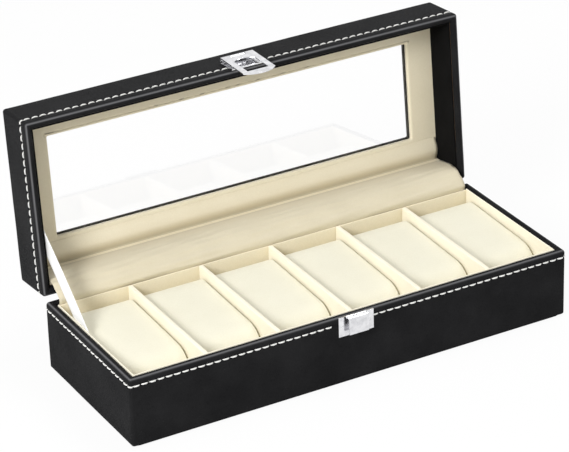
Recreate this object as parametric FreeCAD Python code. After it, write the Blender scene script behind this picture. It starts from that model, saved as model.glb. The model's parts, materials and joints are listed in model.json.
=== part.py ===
import FreeCAD
import Part
import math
import os

# Watch box, millimetres. Origin under the middle of the base, +X to the right, -Y to the front, +Z up.
# The lid is drawn closed and then turned back about the hinge pins to where its ribbon stops it.

# Outside of the box
box_length = 300.0
box_depth = 112.0
base_height = 45.8
lid_height = 32.8
rim_gap = 0.4
lid_open_angle = 95.0

# Sheet and board thicknesses
cover_skin = 1.0
wall_board = 4.0
back_board = 5.0
floor_board = 3.0
liner_board = 1.0
felt_thickness = 1.0
lining_cloth = 1.0
lid_back_pad = 2.0
lid_back_pad_lift = 0.5
divider_thickness = 3.0

# Edges of the leather cover and the felt
corner_radius = 2.0
lid_top_radius = 2.0
felt_inset = 2.0
felt_corner = 4.0

# Lid window
window_length = 252.0
window_width = 65.0
window_centre_y = -2.0
top_frame_board = 4.0
glass_thickness = 1.8
glass_overlap = 6.0
glass_play = 0.3
lid_lining_board = 2.5

# Tray, dividers and pillows
compartments = 6
divider_edge_radius = 1.2
divider_play = 0.2
tray_drop = 0.5
back_liner_drop = 1.0
pillow_play = 1.2
pillow_front_space = 15.0
pillow_back_space = 1.5
pillow_drop_back = 4.3
pillow_drop_front = 7.0
pillow_front_radius = 15.0
pillow_back_radius = 9.0
pillow_foot_bevel = 5.0
pillow_end_inset = 3.0
pillow_roundness = 4.0
pillow_places = (-1.0, -0.92, -0.5, 0.5, 0.92, 1.0)

# Butt hinges on the back
hinge_spacing = 180.0
hinge_width = 24.0
hinge_leaf = 1.0
hinge_leaf_height = 15.0
hinge_leaf_corner = 2.0
hinge_knuckle_radius = 1.8
hinge_middle_knuckle = 8.0
hinge_pin_radius = 0.8
knuckle_gap = 0.25
knuckle_rim_gap = 0.25
pin_clearance = 0.05
screw_spacing = 14.0
screw_drop = 9.5
screw_head_radius = 1.9
screw_head_height = 0.6
screw_shank_radius = 0.9
screw_length = 5.0

# Clasp: catch on the base, plate and flap on the lid
clasp_sheet = 0.8
catch_width = 24.0
catch_height = 13.0
tongue_width = 13.3
tongue_rise = 4.3
tongue_length = 11.3
latch_plate_width = 22.0
latch_plate_lift = 0.8
latch_plate_height = 15.5
latch_knuckle_radius = 1.7
latch_middle_knuckle = 10.0
latch_pin_radius = 0.8
flap_width = 22.3
flap_end_bar = 5.6
flap_end_bow = 4.0
flap_droop = 4.5
flap_window_play = 0.5
flap_window_top = 6.6
flap_window_arch = 3.4
flap_end_clearance = 0.5
flap_plate_gap = 0.2
nail_radius = 0.7
nail_length = 4.8
nail_inset = 2.8
nail_edge_distance = 2.0
fastener_clearance = 0.05

# Ribbon that stops the lid, and the lining strip over the hinge
ribbon_width = 10.0
ribbon_thickness = 0.7
ribbon_base_reach = 45.0
ribbon_base_drop = 11.5
ribbon_lid_reach = 44.0
ribbon_lid_rise = 14.0
lining_leg = 24.0
lining_side_play = 0.5
lining_first_share = 0.47
lining_first_radius = 3.5
lining_second_radius = 6.5

# Derived planes
half_length = box_length / 2
half_depth = box_depth / 2
wall = cover_skin + wall_board
rim_radius = wall / 2
pad_radius = rim_radius - cover_skin
base_shoulder = base_height - rim_radius
parting_z = base_height + rim_gap / 2
lid_low = base_height + rim_gap
lid_shoulder = lid_low + rim_radius
box_height = lid_low + lid_height
board_x = half_length - cover_skin
board_y = half_depth - cover_skin
inner_board_x = board_x - wall_board
inner_front_y = -board_y + wall_board
inner_back_y = board_y - back_board
tray_x = inner_board_x - liner_board
tray_front_y = inner_front_y + liner_board
tray_back_y = inner_back_y - lining_cloth - liner_board
cover_bottom = felt_thickness
board_bottom = cover_bottom + cover_skin
floor_top = cover_bottom + floor_board
tray_floor = floor_top + liner_board
tray_top = base_height - tray_drop
top_frame_low = box_height - cover_skin - top_frame_board
glass_top = top_frame_low + glass_thickness
lid_ceiling = top_frame_low - lid_lining_board
compartment_width = (2 * tray_x - (compartments - 1) * divider_thickness) / compartments
compartment_pitch = compartment_width + divider_thickness

# The pin line lies behind the box where the knuckles just clear the padded rims of base and lid
pin_to_rim_core = rim_radius + hinge_knuckle_radius + knuckle_rim_gap
hinge_z = parting_z
hinge_y = half_depth - rim_radius + math.sqrt(pin_to_rim_core ** 2 - (hinge_z - base_shoulder) ** 2)
leaf_face_y = half_depth + hinge_leaf

x_axis = FreeCAD.Vector(1, 0, 0)
y_axis = FreeCAD.Vector(0, 1, 0)
z_axis = FreeCAD.Vector(0, 0, 1)
hinge_point = FreeCAD.Vector(0, hinge_y, hinge_z)


def point(x, y, z):
    return FreeCAD.Vector(x, y, z)


def block(x_low, x_high, y_low, y_high, z_low, z_high):
    return Part.makeBox(x_high - x_low, y_high - y_low, z_high - z_low, point(x_low, y_low, z_low))


def rod(start, axis, radius, length):
    return Part.makeCylinder(radius, length, start, axis)


def path_edges(start, steps):
    """Edges from a start point: a step is a line's end, or an arc's middle and end."""
    edges = []
    here = start
    for step in steps:
        there = step[-1]
        if len(step) == 2:
            edges.append(Part.Arc(here, step[0], there).toShape())
        else:
            edges.append(Part.LineSegment(here, there).toShape())
        here = there
    return edges


def outline_face(start, steps):
    return Part.Face(Part.Wire(path_edges(start, steps)))


def rounded_plate(length, depth, radius, z_low, thickness):
    plate = block(-length / 2, length / 2, -depth / 2, depth / 2, z_low, z_low + thickness)
    return plate.makeFillet(radius, upright_edges(plate))


def runs_along(edge, axis):
    return math.isclose(abs(edge.tangentAt(edge.FirstParameter).dot(axis)), 1)


def upright_edges(solid):
    return [edge for edge in solid.Edges if runs_along(edge, z_axis)]


def mitred_side(section, run, offset, reach, z_low, z_high):
    """A section drawn inwards from y = 0, run along X and cut off at 45 degrees at both ends."""
    bar = section.extrude(x_axis * run)
    bar.translate(x_axis * (-run / 2))
    corners = [(-run / 2, 0), (run / 2, 0), (run / 2 - reach, reach), (-run / 2 + reach, reach)]
    ring = [point(x, y, z_low) for x, y in corners + corners[:1]]
    wedge = Part.Face(Part.makePolygon(ring)).extrude(z_axis * (z_high - z_low))
    side = bar.common(wedge).Solids[0]
    side.translate(y_axis * (-offset))
    return side


def mitred_sides(section, reach, z_low, z_high):
    """The section carried round the box as four mitred sides: front, right, back, left."""
    sides = []
    for quarter in range(4):
        run, offset = (box_length, half_depth) if quarter % 2 == 0 else (box_depth, half_length)
        side = mitred_side(section, run, offset, reach, z_low, z_high)
        side.rotate(point(0, 0, 0), z_axis, 90 * quarter)
        sides.append(side)
    return sides


def joined(solids):
    return solids[0].multiFuse(solids[1:]).removeSplitter()


def opened(shape):
    """A lid piece turned from its closed place to its rest place."""
    turned = shape.copy()
    turned.rotate(hinge_point, x_axis, -lid_open_angle)
    return turned


def mirrored_to_lid(shape):
    """A piece of the base rim mirrored across the plane where lid and base meet."""
    return shape.mirror(point(0, 0, parting_z), z_axis)


# Leather cover and padded rim

def rim_pad_sides():
    """Half-round cord on top of the wall boards."""
    left = point(0, cover_skin, base_shoulder)
    right = point(0, wall - cover_skin, base_shoulder)
    crest = point(0, rim_radius, base_shoulder + pad_radius)
    section = outline_face(left, [(crest, right), (left,)])
    return mitred_sides(section, wall, 0, base_height)


def rim_skin_steps(z_end):
    """Up the outside from z_end, over the half-round rim and back down the inside of the skin."""
    return [
        (point(0, 0, base_shoulder),),
        (point(0, rim_radius, base_height), point(0, wall, base_shoulder)),
        (point(0, wall - cover_skin, base_shoulder),),
        (point(0, rim_radius, base_shoulder + pad_radius), point(0, cover_skin, base_shoulder)),
        (point(0, cover_skin, z_end),),
    ]


def base_cover():
    """Leather up the outside, over the rim, and turned in under the wall boards."""
    turn_in = cover_skin + wall_board
    steps = rim_skin_steps(board_bottom)
    steps += [
        (point(0, turn_in, board_bottom),),
        (point(0, turn_in, cover_bottom),),
        (point(0, 0, cover_bottom),),
    ]
    section = outline_face(point(0, 0, cover_bottom), steps)
    skin = joined(mitred_sides(section, wall, 0, base_height))
    skin = skin.common(rounded_plate(box_length, box_depth, corner_radius, 0, base_height))
    return skin.cut(joined(screw_awl_holes() + nail_awl_holes(catch_nail_places())))


def lid_envelope():
    body = block(-half_length, half_length, -half_depth, half_depth, lid_low, box_height)
    edges = upright_edges(body)
    body = body.makeFillet(corner_radius, edges)
    top_edges = [edge for edge in body.Edges if edge.BoundBox.ZMin > box_height - cover_skin / 2]
    return body.makeFillet(lid_top_radius, top_edges)


def window_block(margin, z_low, z_high):
    half_x = window_length / 2 + margin
    half_y = window_width / 2 + margin
    return block(-half_x, half_x, window_centre_y - half_y, window_centre_y + half_y, z_low, z_high)


def lid_cover():
    """Leather over the lid: rim, walls, top, and turned into the window down to the glass."""
    wall_low = 2 * parting_z - box_height
    section = outline_face(point(0, 0, wall_low), rim_skin_steps(wall_low) + [(point(0, 0, wall_low),)])
    walls = [mirrored_to_lid(side) for side in mitred_sides(section, wall, wall_low, base_height)]
    top = block(-half_length, half_length, -half_depth, half_depth, box_height - cover_skin, box_height)
    sleeve = window_block(cover_skin, glass_top, box_height)
    skin = joined(walls + [top, sleeve]).common(lid_envelope())
    skin = skin.cut(window_block(0, lid_ceiling, box_height))
    screw_holes = [mirrored_to_lid(hole) for hole in screw_awl_holes()]
    return skin.cut(joined(screw_holes + nail_awl_holes(latch_nail_places())))


# Boards under the leather

def wall_panels(z_low, z_high):
    """Front, back, left and right boards: the long ones run through, the short ones stand between."""
    return {
        "front_panel": block(-board_x, board_x, -board_y, inner_front_y, z_low, z_high),
        "back_panel": block(-board_x, board_x, inner_back_y, board_y, z_low, z_high),
        "left_panel": block(-board_x, -inner_board_x, inner_front_y, inner_back_y, z_low, z_high),
        "right_panel": block(inner_board_x, board_x, inner_front_y, inner_back_y, z_low, z_high),
    }


def base_panels():
    panels = wall_panels(board_bottom, base_shoulder)
    panels["back_panel"] = panels["back_panel"].cut(joined(screw_bores(hinge_screw_places())))
    panels["front_panel"] = panels["front_panel"].cut(joined(nail_bores(catch_nail_places())))
    panels["floor_panel"] = block(
        -inner_board_x, inner_board_x, inner_front_y, inner_back_y, cover_bottom, floor_top)
    return panels


def lid_panels():
    panels = wall_panels(lid_shoulder, top_frame_low)
    back_bores = [mirrored_to_lid(hole) for hole in screw_bores(hinge_screw_places())]
    panels["back_panel"] = panels["back_panel"].cut(joined(back_bores))
    panels["front_panel"] = panels["front_panel"].cut(joined(nail_bores(latch_nail_places())))
    return panels


def lid_top_frame():
    """Board with the window cut through it and a rebate below for the glass."""
    board = block(-board_x, board_x, -board_y, board_y, top_frame_low, box_height - cover_skin)
    rebate = window_block(glass_overlap, top_frame_low, glass_top)
    return board.cut(rebate).cut(window_block(cover_skin, glass_top, box_height))


def window_glass():
    return window_block(glass_overlap - glass_play, top_frame_low, glass_top)


def base_felt():
    return rounded_plate(
        box_length - 2 * felt_inset, box_depth - 2 * felt_inset, felt_corner, 0, felt_thickness)


# Linings of the lid

def lid_linings():
    ceiling = block(
        -inner_board_x, inner_board_x, inner_front_y, inner_back_y, lid_ceiling, top_frame_low)
    pad_front_y = inner_back_y - lid_back_pad
    return {
        "lining_board": ceiling.cut(window_block(0, lid_ceiling, top_frame_low)),
        "front_facing": block(
            -inner_board_x, inner_board_x, inner_front_y, tray_front_y, lid_shoulder, lid_ceiling),
        "left_facing": block(
            -inner_board_x, -tray_x, tray_front_y, inner_back_y, lid_shoulder, lid_ceiling),
        "right_facing": block(
            tray_x, inner_board_x, tray_front_y, inner_back_y, lid_shoulder, lid_ceiling),
        "back_lining": block(
            -tray_x, tray_x, pad_front_y, inner_back_y, lid_shoulder + lid_back_pad_lift, lid_ceiling),
    }


# Tray

def tray_liners():
    return {
        "floor_liner": block(
            -inner_board_x, inner_board_x, inner_front_y, inner_back_y, floor_top, tray_floor),
        "front_liner": block(
            -inner_board_x, inner_board_x, inner_front_y, tray_front_y, tray_floor, tray_top),
        "left_liner": block(
            -inner_board_x, -tray_x, tray_front_y, tray_back_y + liner_board, tray_floor, tray_top),
        "right_liner": block(
            tray_x, inner_board_x, tray_front_y, tray_back_y + liner_board, tray_floor, tray_top),
        "back_liner": block(
            -tray_x, tray_x, tray_back_y, tray_back_y + liner_board,
            tray_floor, base_height - back_liner_drop),
    }


def divider(number):
    """Cloth-wrapped board across the tray, its top edge rounded over."""
    middle = -tray_x + number * compartment_pitch - divider_thickness / 2
    half = divider_thickness / 2
    board = block(
        middle - half, middle + half,
        tray_front_y + divider_play, tray_back_y - divider_play,
        tray_floor, tray_top)
    top_edges = [
        edge for edge in board.Edges
        if runs_along(edge, y_axis) and edge.BoundBox.ZMin > tray_top - half]
    return board.makeFillet(divider_edge_radius, top_edges)


def pillow_section(x, inset):
    """Side view of a pillow: bevelled foot, upright back, top falling to a big round front."""
    front = tray_front_y + pillow_front_space + inset
    back = tray_back_y - pillow_back_space - inset
    low = tray_floor
    top_back = base_height - pillow_drop_back - inset
    top_front = base_height - pillow_drop_front - inset
    slant = math.sqrt(0.5)
    front_y = front + pillow_front_radius
    front_z = top_front - pillow_front_radius
    back_y = back - pillow_back_radius
    back_z = top_back - pillow_back_radius
    foot_z = low + pillow_foot_bevel
    start = point(x, front + pillow_foot_bevel, low)
    steps = [
        (point(x, back - pillow_foot_bevel, low),),
        (point(x, back, foot_z),),
        (point(x, back, back_z),),
        (point(x, back_y + pillow_back_radius * slant, back_z + pillow_back_radius * slant),
         point(x, back_y, top_back)),
        (point(x, front_y, top_front),),
        (point(x, front_y - pillow_front_radius * slant, front_z + pillow_front_radius * slant),
         point(x, front, front_z)),
        (point(x, front, foot_z),),
        (start,),
    ]
    return Part.Wire(path_edges(start, steps))


def pillow(number):
    """Stuffed pillow: sections that draw in towards both ends, lofted across the compartment."""
    middle = -tray_x + compartment_width / 2 + (number - 1) * compartment_pitch
    half = compartment_width / 2 - pillow_play
    sections = []
    for place in pillow_places:
        draw_in = 1 - (1 - abs(place) ** pillow_roundness) ** (1 / pillow_roundness)
        sections.append(pillow_section(middle + half * place, pillow_end_inset * draw_in))
    return Part.makeLoft(sections, True, True)


# Hinges on the back

def hinge_middles():
    return {"left": -hinge_spacing / 2, "right": hinge_spacing / 2}


def hinge_knuckle(x_low, x_high):
    start = point(x_low, hinge_y, hinge_z)
    sleeve = rod(start, x_axis, hinge_knuckle_radius, x_high - x_low)
    tab_low = hinge_z - hinge_knuckle_radius - 2 * knuckle_gap
    tab = block(x_low, x_high, half_depth, leaf_face_y, tab_low, hinge_z)
    return [sleeve, tab]


def hinge_leaf_plate(middle, knuckle_spans):
    """A leaf of the base half: rounded plate, its knuckles on the pin line, and screw holes."""
    half = hinge_width / 2
    plate_high = hinge_z - hinge_knuckle_radius - knuckle_gap
    plate_low = hinge_z - hinge_leaf_height
    plate = block(middle - half, middle + half, half_depth, leaf_face_y, plate_low, plate_high)
    low_edges = [
        edge for edge in plate.Edges
        if runs_along(edge, y_axis) and edge.BoundBox.ZMax < plate_high]
    pieces = [plate.makeFillet(hinge_leaf_corner, low_edges)]
    for x_low, x_high in knuckle_spans:
        pieces += hinge_knuckle(middle + x_low, middle + x_high)
    leaf = joined(pieces)
    bore = rod(point(middle - half, hinge_y, hinge_z), x_axis, hinge_pin_radius + pin_clearance, hinge_width)
    return leaf.cut(joined([bore] + screw_bores(screw_places(middle))))


def base_leaf(middle):
    inner = hinge_middle_knuckle / 2 + knuckle_gap
    return hinge_leaf_plate(middle, [(-hinge_width / 2, -inner), (inner, hinge_width / 2)])


def lid_leaf(middle):
    half = hinge_middle_knuckle / 2
    return mirrored_to_lid(hinge_leaf_plate(middle, [(-half, half)]))


def hinge_pin(middle):
    return rod(point(middle - hinge_width / 2, hinge_y, hinge_z), x_axis, hinge_pin_radius, hinge_width)


def screw_places(middle):
    z = hinge_z - screw_drop
    return [point(middle + side * screw_spacing / 2, leaf_face_y, z) for side in (-1, 1)]


def bores(places, inward, radius, length):
    """Round holes for the shanks of screws or nails that start at these places."""
    return [
        rod(place, inward, radius + fastener_clearance, length + fastener_clearance) for place in places]


def awl_holes(places, inward, radius, plate):
    """Square holes that the awl leaves in the leather behind a plate."""
    half = radius + fastener_clearance
    depth = inward * (plate + cover_skin)
    holes = []
    for place in places:
        ring = [(-half, -half), (half, -half), (half, half), (-half, half), (-half, -half)]
        square = Part.makePolygon([place + point(x, 0, z) for x, z in ring])
        holes.append(Part.Face(square).extrude(depth))
    return holes


def hinge_screw_places():
    return [place for middle in hinge_middles().values() for place in screw_places(middle)]


def screw_bores(places):
    return bores(places, -y_axis, screw_shank_radius, screw_length)


def screw_awl_holes():
    return awl_holes(hinge_screw_places(), -y_axis, screw_shank_radius, hinge_leaf)


def base_screws():
    """Pan heads on the leaf, shanks through leaf and leather into the board."""
    screws = []
    for place in hinge_screw_places():
        head = rod(place, y_axis, screw_head_radius, screw_head_height)
        shank = rod(place, -y_axis, screw_shank_radius, screw_length)
        screws.append(head.fuse(shank).removeSplitter())
    return screws


# Clasp on the front

front_y = -half_depth
plate_face_y = front_y - clasp_sheet
catch_top = base_height
latch_plate_low = lid_low + latch_plate_lift
latch_plate_high = latch_plate_low + latch_plate_height
latch_pin_y = plate_face_y - flap_plate_gap - latch_knuckle_radius
latch_pin_z = latch_plate_high - latch_knuckle_radius
flap_window_width = tongue_width + 2 * flap_window_play
flap_window_low = latch_pin_z - (catch_top - tongue_length - flap_end_clearance)
flap_length = flap_window_low + flap_end_bar


def tongue():
    """Sheet folded out over the top of the catch and hanging down in front of it."""
    bend = tongue_rise / 2
    bend_z = catch_top - bend
    low = catch_top - tongue_length
    outer = front_y - tongue_rise
    x = -tongue_width / 2
    start = point(x, front_y, bend_z)
    steps = [
        (point(x, front_y - bend, catch_top), point(x, outer, bend_z)),
        (point(x, outer, low),),
        (point(x, outer + clasp_sheet, low),),
        (point(x, outer + clasp_sheet, bend_z),),
        (point(x, front_y - bend, catch_top - clasp_sheet), point(x, plate_face_y, bend_z)),
        (start,),
    ]
    return outline_face(start, steps).extrude(x_axis * tongue_width)


def catch_plate():
    half = catch_width / 2
    plate = block(-half, half, plate_face_y, front_y, catch_top - catch_height, catch_top)
    return joined([plate, tongue()]).cut(joined(nail_bores(catch_nail_places())))


def nails(places):
    """Brads driven flush with their plate."""
    return [rod(place, y_axis, nail_radius, nail_length) for place in places]


def nail_bores(places):
    return bores(places, y_axis, nail_radius, nail_length)


def nail_awl_holes(places):
    return awl_holes(places, y_axis, nail_radius, clasp_sheet)


def catch_nail_places():
    z = catch_top - catch_height / 2
    return [point(side * (catch_width / 2 - nail_inset), plate_face_y, z) for side in (-1, 1)]


def latch_nail_places():
    z = lid_shoulder + nail_edge_distance
    return [point(side * (latch_plate_width / 2 - nail_inset), plate_face_y, z) for side in (-1, 1)]


def latch_bore():
    start = point(-flap_width / 2, latch_pin_y, latch_pin_z)
    return rod(start, x_axis, latch_pin_radius + pin_clearance, flap_width)


def latch_plate():
    """Plate on the lid, its top edge bent out and rolled round the pin in the middle."""
    half = latch_plate_width / 2
    inner = latch_middle_knuckle / 2
    plate = block(-half, half, plate_face_y, front_y, latch_plate_low, latch_plate_high - clasp_sheet)
    strap = block(
        -inner, inner, latch_pin_y, front_y, latch_plate_high - clasp_sheet, latch_plate_high)
    start = point(-inner, latch_pin_y, latch_pin_z)
    sleeve = rod(start, x_axis, latch_knuckle_radius, latch_middle_knuckle)
    bored = joined([latch_bore()] + nail_bores(latch_nail_places()))
    return joined([plate, strap, sleeve]).cut(bored)


def latch_pin():
    return rod(point(-flap_width / 2, latch_pin_y, latch_pin_z), x_axis, latch_pin_radius, flap_width)


def flap_outline(y):
    """Straight sides down to a bowed end."""
    half = flap_width / 2
    corner = latch_pin_z - flap_length + flap_end_bow
    start = point(-half, y, latch_pin_z)
    steps = [
        (point(half, y, latch_pin_z),),
        (point(half, y, corner),),
        (point(0, y, latch_pin_z - flap_length), point(-half, y, corner)),
        (start,),
    ]
    return outline_face(start, steps)


def flap_window(y):
    """D-shaped opening: flat towards the tip, arched towards the pin."""
    half = flap_window_width / 2
    low = latch_pin_z - flap_window_low
    high = latch_pin_z - flap_window_top
    start = point(-half, y, low)
    steps = [
        (point(half, y, low),),
        (point(half, y, high - flap_window_arch),),
        (point(0, y, high), point(-half, y, high - flap_window_arch)),
        (start,),
    ]
    return outline_face(start, steps)


def latch_flap():
    """Flap closed over the catch, drooping inwards from its pin."""
    outer = latch_pin_y - latch_knuckle_radius
    half = flap_width / 2
    inner = latch_middle_knuckle / 2 + knuckle_gap
    sheet = flap_outline(outer).extrude(y_axis * clasp_sheet)
    window = flap_window(outer).extrude(y_axis * clasp_sheet)
    notch_low = latch_pin_z - latch_knuckle_radius - knuckle_gap
    notch = block(-inner, inner, outer, outer + clasp_sheet, notch_low, latch_pin_z)
    knuckles = [
        rod(point(x_low, latch_pin_y, latch_pin_z), x_axis, latch_knuckle_radius, half - inner)
        for x_low in (-half, inner)]
    flap = joined([sheet.cut(window).cut(notch)] + knuckles).cut(latch_bore())
    flap.rotate(point(0, latch_pin_y, latch_pin_z), x_axis, flap_droop)
    return flap


# Cloth that crosses the hinge

def ribbon_stay():
    """Flat ribbon pulled straight from the base's left wall to the lid's."""
    low = point(-tray_x, hinge_y - ribbon_base_reach, base_height - ribbon_base_drop)
    lid_end = Part.Vertex(point(-tray_x, hinge_y - ribbon_lid_reach, lid_low + ribbon_lid_rise))
    high = opened(lid_end).Point
    along = (high - low).normalize()
    across = x_axis.cross(along) * (ribbon_width / 2)
    ring = [low - across, low + across, high + across, high - across, low - across]
    return Part.Face(Part.makePolygon(ring)).extrude(x_axis * ribbon_thickness)


def turned_by(direction, angle):
    return FreeCAD.Rotation(x_axis, angle).multVec(direction)


def arc_step(here, direction, radius, angle):
    """Clockwise arc seen from +X's tail: its middle, end and end direction."""
    centre = here + turned_by(direction, -90) * radius
    middle = centre + turned_by(here - centre, -angle / 2)
    end = centre + turned_by(here - centre, -angle)
    return middle, end, turned_by(direction, -angle)


def hinge_lining():
    """Velvet strip: up behind the tray liner, over the hinge gap and along the lid's back wall."""
    half = tray_x - lining_side_play
    first_angle = lid_open_angle * lining_first_share
    start = point(-half, inner_back_y - lining_cloth, base_height - lining_leg)
    rise = point(-half, start.y, base_height)
    first_middle, first_end, slope = arc_step(rise, z_axis, lining_first_radius, first_angle)
    lid_y = inner_back_y - lid_back_pad - lining_cloth
    lid_top = opened(Part.Vertex(point(-half, lid_y, lid_ceiling - lining_side_play))).Point
    origin_step = arc_step(point(0, 0, 0), slope, lining_second_radius, lid_open_angle - first_angle)
    lid_normal = turned_by(origin_step[2], 90)
    gap = lid_normal.dot(lid_top - first_end - origin_step[1])
    bridge_end = first_end + slope * (gap / lid_normal.dot(slope))
    second_middle = bridge_end + origin_step[0]
    second_end = bridge_end + origin_step[1]
    path = Part.Wire(path_edges(start, [
        (rise,), (first_middle, first_end), (bridge_end,), (second_middle, second_end), (lid_top,)]))
    section = path.makeOffset2D(lining_cloth, join=0, fill=True, openResult=True, intersection=False)
    return section.extrude(x_axis * (2 * half))


def export(name, shapes):
    shape = Part.makeCompound(shapes) if len(shapes) > 1 else shapes[0]
    shape.exportStep("parts/" + name + ".step")


def build():
    os.makedirs("parts", exist_ok=True)
    pieces = {"base_felt": [base_felt()], "base_cover": [base_cover()], "base_rim_padding": rim_pad_sides()}
    pieces.update({"base_" + name: [panel] for name, panel in base_panels().items()})
    pieces.update({"tray_" + name: [liner] for name, liner in tray_liners().items()})
    pieces.update({"divider_%d" % number: [divider(number)] for number in range(1, compartments)})
    pieces.update({"pillow_%d" % number: [pillow(number)] for number in range(1, compartments + 1)})
    pieces["catch_plate"] = [catch_plate()]
    pieces["catch_nails"] = nails(catch_nail_places())
    pieces["base_hinge_screws"] = base_screws()
    pieces["ribbon_stay"] = [ribbon_stay()]
    pieces["hinge_lining"] = [hinge_lining()]
    lid_pieces = {
        "lid_cover": [lid_cover()],
        "lid_rim_padding": [mirrored_to_lid(side) for side in rim_pad_sides()],
        "lid_top_frame": [lid_top_frame()],
        "window_glass": [window_glass()],
        "lid_hinge_screws": [mirrored_to_lid(screw) for screw in base_screws()],
        "latch_plate": [latch_plate()],
        "latch_nails": nails(latch_nail_places()),
        "latch_pin": [latch_pin()],
        "latch_flap": [latch_flap()],
    }
    lid_pieces.update({"lid_" + name: [panel] for name, panel in lid_panels().items()})
    lid_pieces.update({"lid_" + name: [lining] for name, lining in lid_linings().items()})
    for side, middle in hinge_middles().items():
        pieces["hinge_base_leaf_" + side] = [base_leaf(middle)]
        pieces["hinge_pin_" + side] = [hinge_pin(middle)]
        lid_pieces["hinge_lid_leaf_" + side] = [lid_leaf(middle)]
    pieces.update({name: [opened(shape) for shape in shapes] for name, shapes in lid_pieces.items()})
    for name, shapes in pieces.items():
        export(name, shapes)


build()
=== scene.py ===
import json
import math

import bpy
import bmesh
import numpy as np
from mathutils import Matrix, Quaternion, Vector


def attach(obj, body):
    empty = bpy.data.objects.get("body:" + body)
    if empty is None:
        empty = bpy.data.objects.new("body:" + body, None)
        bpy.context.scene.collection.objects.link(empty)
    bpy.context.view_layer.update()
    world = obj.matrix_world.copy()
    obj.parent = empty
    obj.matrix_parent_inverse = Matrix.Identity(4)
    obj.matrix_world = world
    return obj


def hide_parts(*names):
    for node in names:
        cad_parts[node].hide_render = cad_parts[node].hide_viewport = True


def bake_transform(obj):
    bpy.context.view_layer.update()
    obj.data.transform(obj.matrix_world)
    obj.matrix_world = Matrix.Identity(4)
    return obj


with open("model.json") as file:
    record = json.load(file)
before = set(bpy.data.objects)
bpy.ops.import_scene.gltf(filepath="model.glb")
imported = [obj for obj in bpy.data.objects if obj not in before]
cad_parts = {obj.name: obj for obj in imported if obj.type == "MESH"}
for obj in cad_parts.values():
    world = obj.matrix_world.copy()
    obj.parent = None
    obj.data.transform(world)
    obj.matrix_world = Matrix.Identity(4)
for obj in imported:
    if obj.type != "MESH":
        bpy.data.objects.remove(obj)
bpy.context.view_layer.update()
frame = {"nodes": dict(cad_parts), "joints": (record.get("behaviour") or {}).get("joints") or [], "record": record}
scene = bpy.context.scene
mm = 0.001
tiny = 1e-9

# Places and sizes read from the frame

lidHinge = next(joint for joint in frame["joints"] if joint["name"] == "lid_hinge")
pinLine = np.array(lidHinge["pos_m"])
openAngle = math.radians(lidHinge["range_deg"][1])


def turned(points, angle):
    # y and z turned about the hinge pins by the angle
    points = np.array(points, float)
    y = points[..., 1] - pinLine[1]
    z = points[..., 2] - pinLine[2]
    points[..., 1] = pinLine[1] + y * math.cos(angle) - z * math.sin(angle)
    points[..., 2] = pinLine[2] + y * math.sin(angle) + z * math.cos(angle)
    return points


def opened(points):
    return turned(points, -openAngle)


def nodePoints(name):
    vertices = frame["nodes"][name].data.vertices
    points = np.empty(len(vertices) * 3, np.float32)
    vertices.foreach_get("co", points)
    return points.reshape(-1, 3).astype(float)


def closedPoints(name):
    return turned(nodePoints(name), openAngle)


def boxOf(points):
    return points.min(axis=0), points.max(axis=0)


coverLow, coverHigh = boxOf(nodePoints("base_cover"))
padLow, padHigh = boxOf(nodePoints("base_rim_padding"))
lidLow, lidHigh = boxOf(closedPoints("lid_cover"))
lidShoulder = boxOf(closedPoints("lid_rim_padding"))[1][2]
glassTop = boxOf(closedPoints("window_glass"))[1][2]
liningPoints = closedPoints("lid_lining_board")
liningLow, liningHigh = boxOf(liningPoints)
windowLow, windowHigh = boxOf(liningPoints[np.abs(liningPoints[:, 0]) < liningHigh[0] - mm])
windowHalf = (windowHigh - windowLow)[:2] / 2
windowCentre = (windowHigh + windowLow)[:2] / 2
halfBox = coverHigh[:2]
skin = coverHigh[0] - padHigh[0]
rimRadius = coverHigh[2] - padLow[2]
turnIn = halfBox[0] - boxOf(nodePoints("base_floor_panel"))[1][0]


# Surfaces on grids

def makePiece(name, points, material, wrapRows=False, wrapColumns=False, caps=False, uv=None, rub=None):
    # one grid of rows by columns, or several copies of it, as quads that face outwards
    grids = points.reshape((-1,) + points.shape[-3:])
    copies, rows, columns = grids.shape[:3]
    index = np.arange(rows * columns).reshape(rows, columns)
    net = np.vstack([index, index[:1]]) if wrapRows else index
    net = np.hstack([net, net[:, :1]]) if wrapColumns else net
    quads = np.stack([net[:-1, :-1], net[:-1, 1:], net[1:, 1:], net[1:, :-1]], axis=-1).reshape(-1, 4)
    first = np.arange(copies)[:, None, None] * rows * columns
    corners = (grids[0] - grids[0].mean(axis=(0, 1))).reshape(-1, 3)[quads]
    a, b, c, d = np.moveaxis(corners, 1, 0)
    volume = np.sum(a * (np.cross(b, c) + np.cross(c, d)))
    faces = (quads + first).reshape(-1, 4).tolist()
    if caps:
        ends = np.stack([index[0][::-1], index[-1]])
        faces += (ends + first).reshape(-1, columns).tolist()
    mesh = bpy.data.meshes.new(name)
    mesh.from_pydata(grids.reshape(-1, 3).tolist(), [], faces)
    if volume < 0:
        mesh.flip_normals()
    if uv is not None:
        corner = np.empty(len(mesh.loops), np.int32)
        mesh.loops.foreach_get("vertex_index", corner)
        flat = np.broadcast_to(uv, grids.shape[:3] + (2,)).reshape(-1, 2)
        mesh.uv_layers.new(name="surface").data.foreach_set("uv", flat[corner].ravel())
    # per-point share of painted light: a painted highlight on the leather rim, painted shade in the hinge strip's
    # fold
    if rub is not None:
        shares = np.broadcast_to(rub, grids.shape[:3]).ravel().astype(np.float32)
        mesh.attributes.new("rub", "FLOAT", "POINT").data.foreach_set("value", shares)
    mesh.shade_smooth()
    mesh.materials.append(material)
    piece = bpy.data.objects.new(name, mesh)
    scene.collection.objects.link(piece)
    return piece


def place(piece, body, slot, *nodes):
    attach(piece, body)
    if nodes:
        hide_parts(*nodes)


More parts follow.
